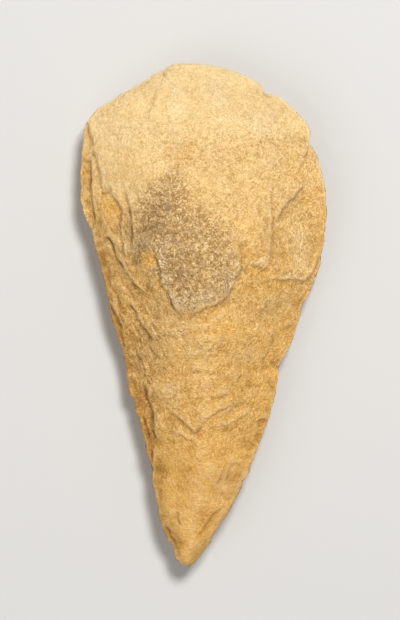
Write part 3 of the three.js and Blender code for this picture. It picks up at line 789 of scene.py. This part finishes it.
def makeLight(name, place, size, power):
    light = bpy.data.lights.new(name, "AREA")
    light.size = size
    light.energy = power
    lamp = bpy.data.objects.new(name, light)
    lamp.location = place
    lamp.rotation_euler = (-Vector(place)).to_track_quat("-Z", "Y").to_euler()
    scene.collection.objects.link(lamp)


# a new camera looks straight down
def makeCamera():
    data = bpy.data.cameras.new("camera")
    data.lens = studio["lens"]
    data.sensor_width = studio["sensor"]
    data.clip_end = studio["farthest"]
    camera = bpy.data.objects.new("camera", data)
    distance = studio["frameHeight"] * studio["lens"] / studio["sensor"]
    camera.location = (*studio["aim"], studio["edgeLevel"] + distance)
    scene.collection.objects.link(camera)
    scene.camera = camera


def makeSky():
    sky = bpy.data.worlds.new("studio")
    sky.use_nodes = True
    background = sky.node_tree.nodes["Background"]
    background.inputs["Color"].default_value = studio["skyColour"]
    background.inputs["Strength"].default_value = studio["skyStrength"]
    scene.world = sky


makeFloor()
makeLight("key", studio["keyPlace"], studio["keySize"], studio["keyPower"])
makeLight("fill", studio["fillPlace"], studio["fillSize"], studio["fillPower"])
makeCamera()
makeSky()
scene.view_settings.view_transform = "Standard"
print("studio")

# Finish of the stone. Colours are shares of light given back. A noise is its scale per metre, its detail and
# its roughness. Tones are two values of a noise, and the two shares that stand for them.
stoneFinish = {
    "cream": (0.82, 0.58, 0.265, 1.0), "ochre": (0.80, 0.45, 0.112, 1.0),
    "crust": (0.66, 0.42, 0.17, 1.0), "soot": (0.30, 0.19, 0.08, 1.0), "brownAndShade": (0.42, 0.21, 0.035, 1.0),
    "iron": (0.68, 0.32, 0.07, 1.0), "gold": (0.85, 0.45, 0.08, 1.0), "pale": (0.84, 0.72, 0.50, 1.0),
    # colour of painted shade, and the pale colour of wear and of the painted highlight on the rim
    "shade": (0.42, 0.32, 0.18, 1.0), "wearAndHighlight": (0.92, 0.74, 0.44, 1.0),
    "palerSpeck": (0.42, 0.20, 0.035, 1.0), "speck": (0.20, 0.09, 0.012, 1.0),
    "clouds": (70.0, 3.0, 0.5), "cloudTones": (0.3, 0.7, 0.9, 1.06),
    "dapple": (330.0, 3.0, 0.6), "dappleTones": (0.35, 0.65, 0.94, 1.04),
    "crustBreaks": (0.25, 0.6, 0.5, 1.0),    # of the dapple too, where the ground shows through the crust
    "mottle": (420.0, 2.0, 0.5), "mottleTones": (0.35, 0.65), "mottleOnCrust": -0.14, "groundTone": 1.05,
    "dust": (1100.0, 2.0, 0.5), "dustTones": (0.4, 0.6, 0.25, 1.1),
    # layers of grains: cells per metre, share that smooth parts keep, tints of the darkest and palest grain
    "grains": [(1500.0, 0.34, (0.77, 0.70, 0.52, 1.0), (1.22, 1.29, 1.50, 1.0)),
               (2600.0, 0.38, (0.68, 0.62, 0.46, 1.0), (1.32, 1.38, 1.58, 1.0))],
    # dark specks: cells per metre and their share of the chance, and the same for the clusters they come in
    "specks": 2050.0, "specksShare": 0.5, "clusters": (520.0, 2.0, 0.6), "clustersShare": 0.9,
    "speckLevels": (1.0, 0.6),    # chance from which a speck shows, on plain and on specked parts
    "speckEdge": 6.0,    # how sharply specks end
    "speckStrengths": (0.1, 0.8, 0.2, 0.6),    # of the specked mask, and how dark specks are
    # painted shade in hollows, paler worn ridges, and the pale rim, partly wear and partly painted highlight
    "hollowShade": 0.45, "ridgeWear": 0.2, "rimWearAndHighlight": 0.6,
    "grit": (1500.0, 3.0, 0.65), "coarseGrit": (620.0, 2.0, 0.6), "bump": 0.9, "bumpHeight": 0.0007,
    "roughness": 0.9,
}


def addNode(tree, kind, values=None, **settings):
    made = tree.nodes.new(kind)
    for name, value in settings.items():
        setattr(made, name, value)
    for name, value in (values or {}).items():
        made.inputs[name].default_value = value
    return made


def maskNode(tree, name):
    return addNode(tree, "ShaderNodeAttribute", attribute_name=name).outputs["Fac"]


def noiseNode(tree, place, scale, detail, roughness):
    made = addNode(tree, "ShaderNodeTexNoise", {"Scale": scale, "Detail": detail, "Roughness": roughness})
    tree.links.new(place, made.inputs["Vector"])
    return made.outputs["Fac"]


def spread(tree, value, fromLow, fromHigh, toLow=0.0, toHigh=1.0):
    ranges = {"From Min": fromLow, "From Max": fromHigh, "To Min": toLow, "To Max": toHigh}
    made = addNode(tree, "ShaderNodeMapRange", ranges)
    tree.links.new(value, made.inputs["Value"])
    return made.outputs["Result"]


def feed(tree, socket, value):
    if isinstance(value, (float, tuple)):
        socket.default_value = value
    else:
        tree.links.new(value, socket)


def combine(tree, operation, first, second):
    made = addNode(tree, "ShaderNodeMath", operation=operation)
    feed(tree, made.inputs[0], first)
    feed(tree, made.inputs[1], second)
    return made.outputs["Value"]


# a Mix node has sockets for every type; the colours are its inputs 6 and 7 and its output 2
def mixColour(tree, factor, first, second, blend="MIX"):
    made = addNode(tree, "ShaderNodeMix", data_type="RGBA", blend_type=blend)
    feed(tree, made.inputs[0], factor)
    feed(tree, made.inputs[6], first)
    feed(tree, made.inputs[7], second)
    return made.outputs[2]


def randomGrains(tree, place, scale):
    grains = addNode(tree, "ShaderNodeTexVoronoi", {"Scale": scale})
    tree.links.new(place, grains.inputs["Vector"])
    tone = addNode(tree, "ShaderNodeSeparateColor")
    tree.links.new(grains.outputs["Color"], tone.inputs["Color"])
    return tone.outputs["Red"]


# broad colours: cream to ochre, stains with a painted shadow among the brown ones, painted shade on the lower
# left rim, crust, soot and pale spots
def stoneGround(tree, place):
    colour = mixColour(tree, maskNode(tree, "ochre"), stoneFinish["cream"], stoneFinish["ochre"])
    clouds = noiseNode(tree, place, *stoneFinish["clouds"])
    colour = mixColour(tree, 1.0, colour, spread(tree, clouds, *stoneFinish["cloudTones"]), "MULTIPLY")
    dapple = noiseNode(tree, place, *stoneFinish["dapple"])
    colour = mixColour(tree, 1.0, colour, spread(tree, dapple, *stoneFinish["dappleTones"]), "MULTIPLY")
    colour = mixColour(tree, maskNode(tree, "iron"), colour, stoneFinish["iron"])
    # brown stains with a painted shadow among them, and painted shade along the lower left rim, in one brown
    for mask in ("brownAndShade", "leftRimShade"):
        colour = mixColour(tree, maskNode(tree, mask), colour, stoneFinish["brownAndShade"])
    crust = maskNode(tree, "crust")
    broken = combine(tree, "MULTIPLY", crust, spread(tree, dapple, *stoneFinish["crustBreaks"]))
    colour = mixColour(tree, broken, colour, stoneFinish["crust"])
    mottle = spread(tree, noiseNode(tree, place, *stoneFinish["mottle"]), *stoneFinish["mottleTones"])
    mottle = combine(tree, "MULTIPLY", mottle, stoneFinish["mottleOnCrust"])
    mottle = combine(tree, "MULTIPLY", mottle, crust)
    tone = combine(tree, "ADD", mottle, stoneFinish["groundTone"])
    colour = mixColour(tree, 1.0, colour, tone, "MULTIPLY")
    for mask in ("soot", "gold"):
        colour = mixColour(tree, maskNode(tree, mask), colour, stoneFinish[mask])
    dust = spread(tree, noiseNode(tree, place, *stoneFinish["dust"]), *stoneFinish["dustTones"])
    dusty = combine(tree, "MULTIPLY", maskNode(tree, "pale"), dust)
    return mixColour(tree, dusty, colour, stoneFinish["pale"])


# single grains of sand, each with its own tone, and dark specks in clusters
def sandGrains(tree, place, colour):
    specked = maskNode(tree, "specked")
    for scale, least, dark, pale in stoneFinish["grains"]:
        tint = mixColour(tree, randomGrains(tree, place, scale), dark, pale)
        strength = spread(tree, specked, 0.0, 1.0, least, 1.0)
        colour = mixColour(tree, strength, colour, mixColour(tree, 1.0, colour, tint, "MULTIPLY"))
    clusters = noiseNode(tree, place, *stoneFinish["clusters"])
    clusters = combine(tree, "MULTIPLY", clusters, stoneFinish["clustersShare"])
    specks = randomGrains(tree, place, stoneFinish["specks"])
    specks = combine(tree, "MULTIPLY", specks, stoneFinish["specksShare"])
    level = spread(tree, specked, 0.0, 1.0, *stoneFinish["speckLevels"])
    above = combine(tree, "SUBTRACT", combine(tree, "ADD", specks, clusters), level)
    above = combine(tree, "MAXIMUM", combine(tree, "MULTIPLY", above, stoneFinish["speckEdge"]), 0.0)
    above = combine(tree, "MINIMUM", above, spread(tree, specked, *stoneFinish["speckStrengths"]))
    speckColour = mixColour(tree, specked, stoneFinish["palerSpeck"], stoneFinish["speck"])
    return mixColour(tree, above, colour, speckColour)


# painted shade in hollows and along the foot of steps; paler on worn ridges, and along the rim, partly wear
# and partly painted highlight
def shadeAndWear(tree, colour):
    hollows = combine(tree, "MULTIPLY", maskNode(tree, "hollow"), stoneFinish["hollowShade"])
    shade = combine(tree, "MAXIMUM", hollows, maskNode(tree, "stepShade"))
    shaded = mixColour(tree, 1.0, colour, stoneFinish["shade"], "MULTIPLY")
    colour = mixColour(tree, shade, colour, shaded)
    ridges = combine(tree, "MULTIPLY", maskNode(tree, "ridge"), stoneFinish["ridgeWear"])
    rims = combine(tree, "MULTIPLY", maskNode(tree, "wearAndHighlight"), stoneFinish["rimWearAndHighlight"])
    return mixColour(tree, combine(tree, "MAXIMUM", ridges, rims), colour, stoneFinish["wearAndHighlight"])


def stoneMaterial():
    material = bpy.data.materials.new("sandstone")
    material.use_nodes = True
    tree = material.node_tree
    shader = tree.nodes["Principled BSDF"]
    place = addNode(tree, "ShaderNodeTexCoord").outputs["Object"]
    colour = shadeAndWear(tree, sandGrains(tree, place, stoneGround(tree, place)))
    tree.links.new(colour, shader.inputs["Base Color"])
    grit = combine(tree, "ADD", noiseNode(tree, place, *stoneFinish["grit"]),
                   noiseNode(tree, place, *stoneFinish["coarseGrit"]))
    relief = {"Strength": stoneFinish["bump"], "Distance": stoneFinish["bumpHeight"]}
    bump = addNode(tree, "ShaderNodeBump", relief)
    tree.links.new(grit, bump.inputs["Height"])
    tree.links.new(bump.outputs["Normal"], shader.inputs["Normal"])
    shader.inputs["Roughness"].default_value = stoneFinish["roughness"]
    return material


axe.data.materials.clear()
axe.data.materials.append(stoneMaterial())
print("stone material")

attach(axe, "root")
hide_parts("hand_axe")
